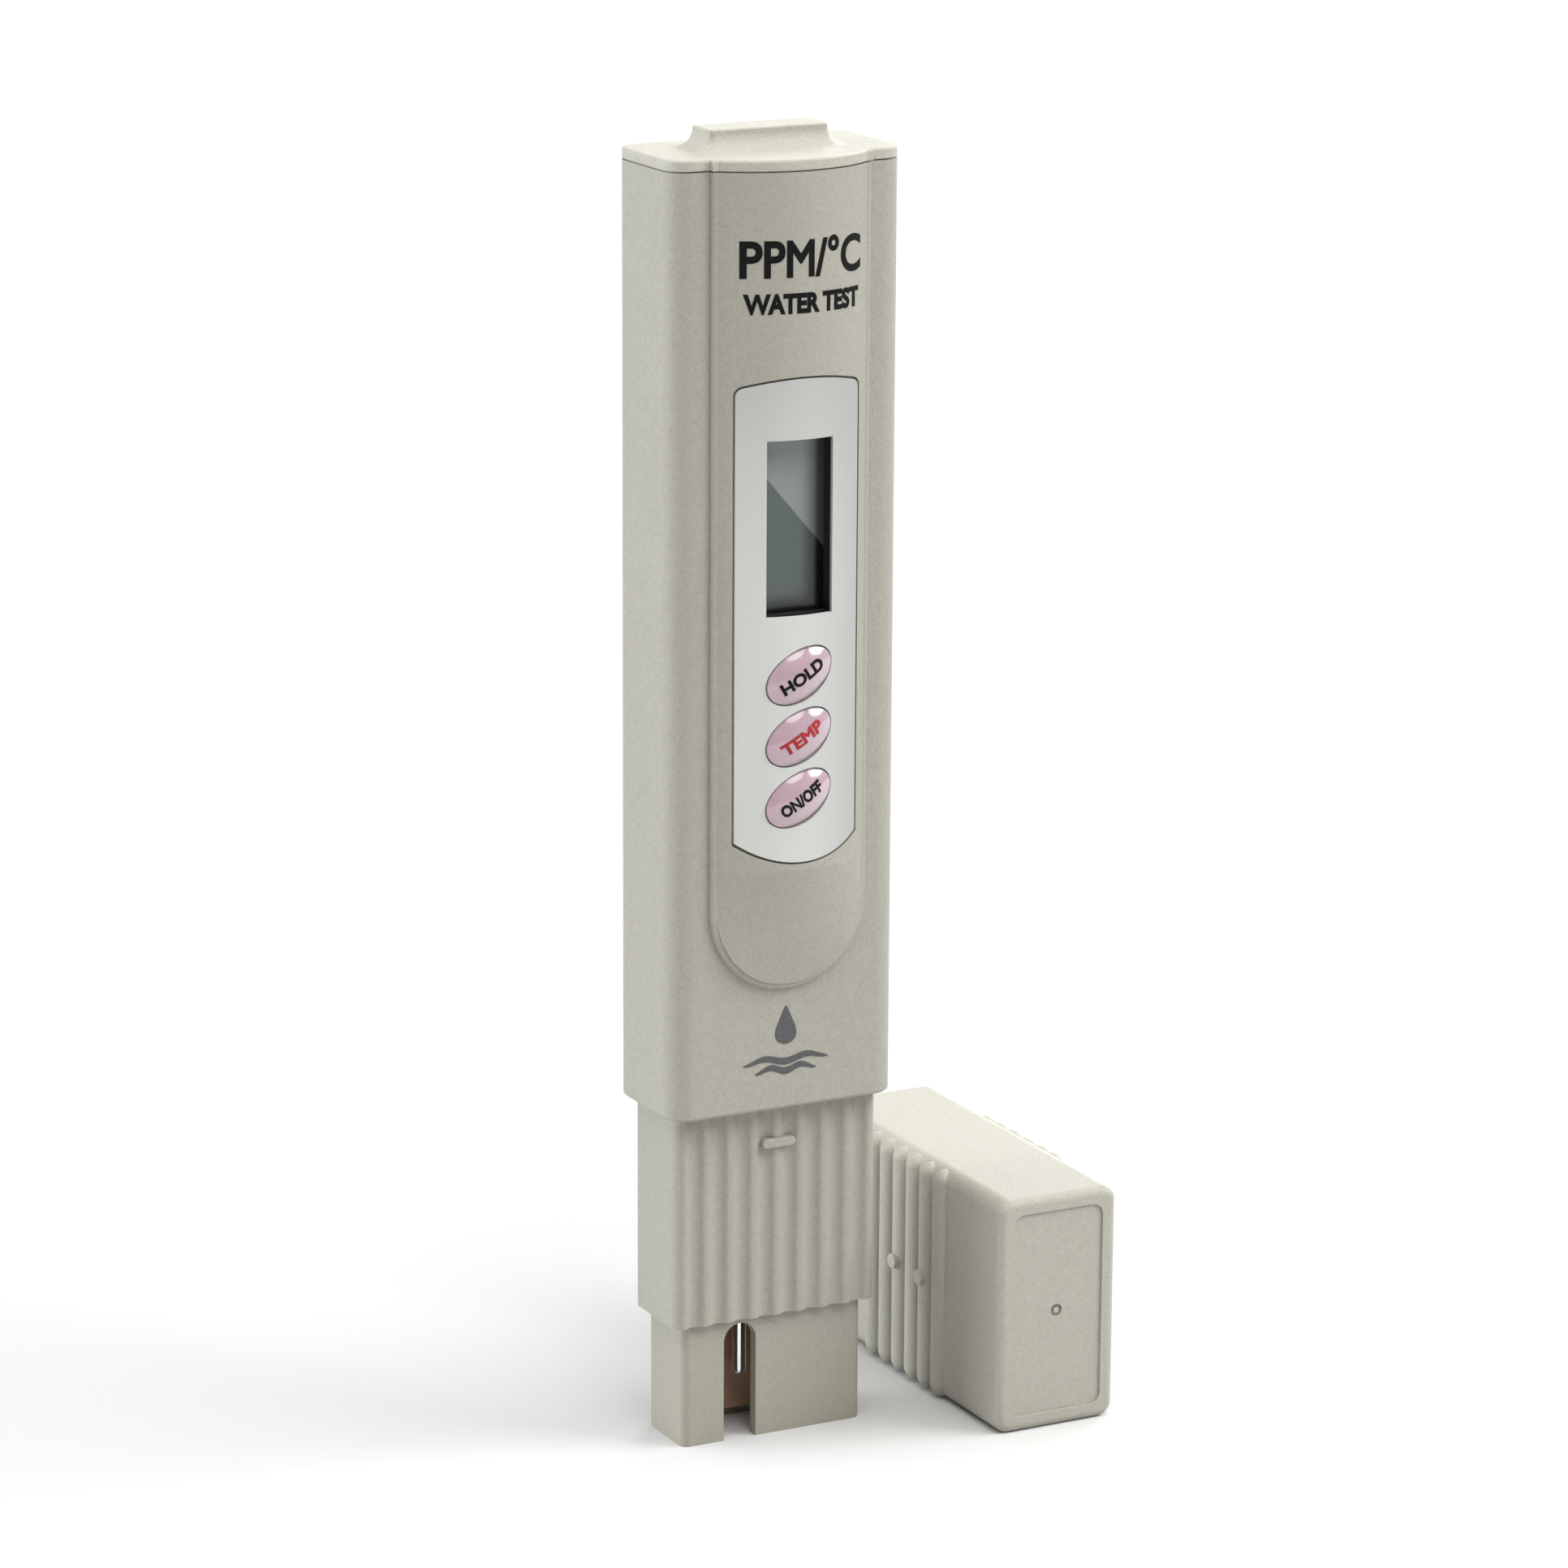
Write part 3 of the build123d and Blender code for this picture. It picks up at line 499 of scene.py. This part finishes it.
keyLook = {"tilt": 31.5, "height": 1.5, "weight": 0.042}
legends = [
    ("hold", "HOLD", blackInk, 5.85),
    ("temp", "TEMP", redInk, 5.65),
    ("power", "ON/OFF", blackInk, 5.75),
]
for key, words, ink, width in legends:
    low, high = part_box(key + "_key")
    spot = (low + high) / 2
    spot.y = front
    piece = makeWords(key + "Legend", words, spot, keyLook["height"] * mm, width * mm,
                      math.radians(keyLook["tilt"]), keyLook["weight"])
    layOn(piece, key + "_key", key + "_button", ink)
print("lettering done")


# plain water drop over two ripples, low on the front; rise is its middle's height on the housing
dropLook = {"height": 4.6, "width": 3.3, "rise": 9.6, "pinch": 0.62, "pinchPower": 1.6,
            "tip": 0.55, "tipPower": 5}
rippleLook = {"width": 11.0, "narrower": 0.28, "thick": 0.42, "height": 0.55, "below": 3.6, "pitch": 1.15}


def makeDrop():
    look = dropLook
    deselectAll()
    bpy.ops.mesh.primitive_circle_add(vertices=64, radius=1.0, fill_type="NGON",
                                      location=(0, front, 0), rotation=(math.radians(90), 0, 0))
    piece = bpy.context.object
    piece.name = "waterDrop"
    bakePlace(piece)
    for v in piece.data.vertices:
        around = math.atan2(v.co.x, v.co.z)
        upper = 0.5 * (1 + math.cos(around))
        v.co.x *= (1 - look["pinch"] * upper ** look["pinchPower"]) * look["width"] / 2 * mm
        v.co.z = (v.co.z + look["tip"] * upper ** look["tipPower"]) * look["height"] / (2 + look["tip"]) * mm
    piece.data.transform(Matrix.Translation((0, 0, housingLow.z + look["rise"] * mm)))
    return piece


def makeRipple(index):
    look = rippleLook
    deselectAll()
    bpy.ops.mesh.primitive_grid_add(x_subdivisions=48, y_subdivisions=1, size=1.0,
                                    location=(0, front, 0), rotation=(math.radians(90), 0, 0))
    piece = bpy.context.object
    piece.name = f"waterRipple{index + 1}"
    bakePlace(piece)
    reach = look["width"] * (1 - look["narrower"] * index)
    level = housingLow.z + (dropLook["rise"] - look["below"] - look["pitch"] * index) * mm
    for v in piece.data.vertices:
        t = v.co.x * 2
        taper = math.sqrt(max(0.02, 1 - t * t))
        wave = math.cos(t * math.pi * 2) * look["height"] / 2
        v.co.x *= reach * mm
        v.co.z = level + (v.co.z * look["thick"] * taper * 2 - wave) * mm
    return piece


for piece in [makeDrop(), makeRipple(0), makeRipple(1)]:
    layOn(piece, "main_housing", "meter", greyInk)
print("emblem done")


# plain floor, soft lamps and the camera
floorLook = {"size": 12.0, "middle": (0.0, 2.0)}  # metres
deselectAll()
bpy.ops.mesh.primitive_plane_add(size=floorLook["size"], location=(*floorLook["middle"], 0))
floor = bpy.context.object
floor.name = "studioFloor"
bakePlace(floor)
floor.data.materials.append(floorPaper())

# each lamp shines from a turn about the object, where 0 is its front and 90 its right, and from a
# climb above the floor; spread is how soft its shadows are, and all three are in degrees
lamps = [
    {"name": "topSoft", "turn": -60, "climb": 80, "strength": 2.3, "spread": 60, "tint": (0.99, 1, 1)},
    {"name": "leftLow", "turn": -115, "climb": 8, "strength": 3.1, "spread": 40, "tint": (0.94, 0.97, 1)},
    {"name": "backLeft", "turn": -150, "climb": 35, "strength": 0.5, "spread": 50, "tint": (0.94, 0.97, 1)},
    {"name": "backRight", "turn": 128, "climb": 16, "strength": 2.8, "spread": 45, "tint": (0.97, 0.99, 1)},
    {"name": "rightHigh", "turn": 60, "climb": 40, "strength": 2.8, "spread": 40, "tint": (0.98, 0.99, 1)},
    {"name": "frontHigh", "turn": 0, "climb": 55, "strength": 0.9, "spread": 30, "tint": (1, 0.99, 0.97)},
]
for lamp in lamps:
    light = bpy.data.lights.new(lamp["name"], "SUN")
    light.energy = lamp["strength"]
    light.angle = math.radians(lamp["spread"])
    light.color = lamp["tint"]
    holder = bpy.data.objects.new(lamp["name"], light)
    turn = math.radians(lamp["turn"])
    climb = math.radians(lamp["climb"])
    source = Vector((math.sin(turn) * math.cos(climb), -math.cos(turn) * math.cos(climb), math.sin(climb)))
    holder.rotation_euler = source.to_track_quat("Z", "Y").to_euler()
    holder.location = source
    bpy.context.scene.collection.objects.link(holder)

world = bpy.data.worlds.new("studioAir")
bpy.context.scene.world = world
world.use_nodes = True
air = world.node_tree.nodes["Background"]
air.inputs["Color"].default_value = (1, 1, 1, 1)
air.inputs["Strength"].default_value = 0.03
bpy.context.scene.view_settings.view_transform = "Standard"

# target and distance in millimetres, turns in degrees
cameraLook = {"target": (3.49, 0.0, 77.48), "yaw": 27.38, "pitch": 14.45, "roll": 0.32, "distance": 670.4,
              "lens": 133.2}
yaw = math.radians(cameraLook["yaw"])
pitch = math.radians(cameraLook["pitch"])
roll = math.radians(cameraLook["roll"])
ahead = Vector((math.sin(yaw) * math.cos(pitch), math.cos(yaw) * math.cos(pitch), -math.sin(pitch)))
right = Vector((math.cos(yaw), -math.sin(yaw), 0))
up = right.cross(ahead)
cameraX = right * math.cos(roll) + up * math.sin(roll)
cameraY = up * math.cos(roll) - right * math.sin(roll)
camera = bpy.data.objects.new("studioCamera", bpy.data.cameras.new("studioCamera"))
camera.data.lens = cameraLook["lens"]
camera.data.sensor_width = 36.0
camera.data.clip_start = 0.01
camera.data.clip_end = 50.0
spot = Vector(cameraLook["target"]) * mm - ahead * cameraLook["distance"] * mm
turned = Matrix((cameraX, cameraY, -ahead)).transposed().to_4x4()
camera.matrix_world = Matrix.Translation(spot) @ turned
bpy.context.scene.collection.objects.link(camera)
bpy.context.scene.camera = camera
print("studio done")
